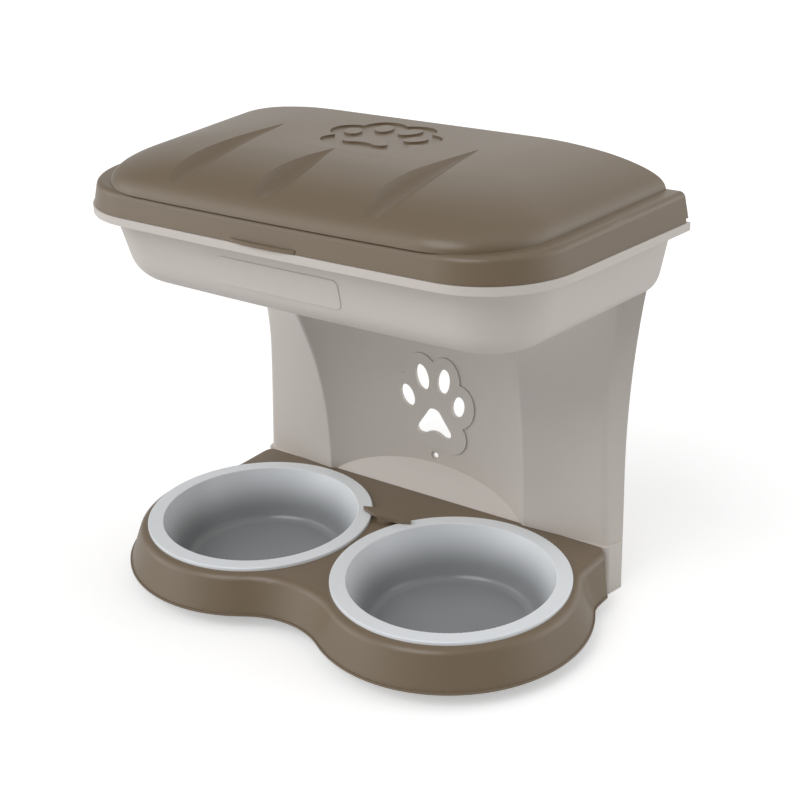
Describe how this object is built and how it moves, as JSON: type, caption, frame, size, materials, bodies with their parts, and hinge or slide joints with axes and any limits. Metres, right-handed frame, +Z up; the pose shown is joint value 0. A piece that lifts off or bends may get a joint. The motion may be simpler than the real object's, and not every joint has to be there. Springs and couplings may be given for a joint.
{
  "type": "dog bowl stand",
  "caption": "Wall-side pet feeding stand: bowls hang in a low flared tray, and a hollowed column carries a lidded food container above them.",
  "frame": {"origin": "on the floor, in the middle of the outline seen from above", "axes": "+X to the right along the two bowls, +Y to the wall behind, +Z up"},
  "size_m": [0.4794, 0.2489, 0.3855],
  "materials": {
    "brown_plastic": "fine satin texture, taupe brown",
    "beige_plastic": "fine satin texture, warm light grey",
    "bowl_plastic": "semi-gloss, pale grey",
    "steel": "plain zinc-plated"
  },
  "bodies": {
    "stand": {"column": "beige_plastic", "container": "beige_plastic", "bowl_tray": "brown_plastic", "hinge_pin_left": "steel", "hinge_pin_right": "steel", "container_screws": "steel", "tray_screws": "steel"},
    "lid": {"lid": "brown_plastic"},
    "clip": {"bowl_clip": "brown_plastic", "clip_washer": "steel", "clip_screw": "steel"},
    "left_bowl": {"bowl_left": "bowl_plastic"},
    "right_bowl": {"bowl_right": "bowl_plastic"}
  },
  "joints": [
    {"name": "lid_hinge", "type": "hinge", "parent": "stand", "child": "lid", "pos_m": [0, 0.12095, 0.3401], "axis": [-1, 0, 0], "range_deg": [0, 90]},
    {"name": "clip_turn", "type": "hinge", "parent": "stand", "child": "clip", "pos_m": [0, 0.04525, 0.04], "axis": [0, 0, 1], "range_deg": [0, 90]},
    {"name": "left_bowl_turn", "type": "hinge", "parent": "stand", "child": "left_bowl", "pos_m": [-0.1025, -0.00575, 0.02], "axis": [0, 0, 1], "continuous": true},
    {"name": "right_bowl_turn", "type": "hinge", "parent": "stand", "child": "right_bowl", "pos_m": [0.1025, -0.00575, 0.02], "axis": [0, 0, 1], "continuous": true}
  ]
}
